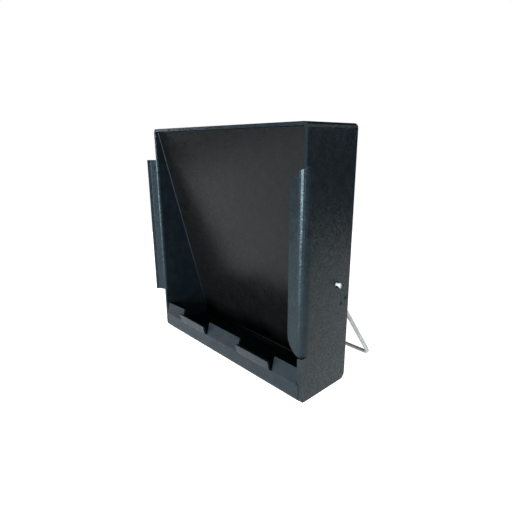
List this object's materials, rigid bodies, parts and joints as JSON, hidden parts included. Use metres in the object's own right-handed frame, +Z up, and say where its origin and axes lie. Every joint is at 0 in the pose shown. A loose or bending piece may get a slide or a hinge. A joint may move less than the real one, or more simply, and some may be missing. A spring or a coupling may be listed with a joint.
{
  "type": "pellet trap",
  "caption": "Open-fronted sheet-steel pellet trap with a sloping deflector, slots that hold a square target card, and a folding wire stand.",
  "frame": {"origin": "middle of the underside of the floor, between the side walls and between the front plane and the rear edges", "axes": "+Z up, -Y towards the shooter, +X to the side with the card flange"},
  "size_m": [0.1608, 0.0867, 0.16],
  "materials": {
    "shell_paint": "dark blue-black hammered powder coat with a fine metallic fleck",
    "deflector_paint": "dark satin powder coat",
    "stand_wire": "satin zinc-plated wire"
  },
  "bodies": {
    "trap": {"folded_shell": "shell_paint", "deflector_plate": "deflector_paint", "card_rest_floor": "shell_paint"},
    "stand": {"wire_stand": "stand_wire"}
  },
  "joints": [
    {"name": "stand_fold", "type": "hinge", "parent": "trap", "child": "stand", "pos_m": [0, 0.0089, 0.068], "axis": [1, 0, 0], "range_deg": [0, 157]}
  ]
}
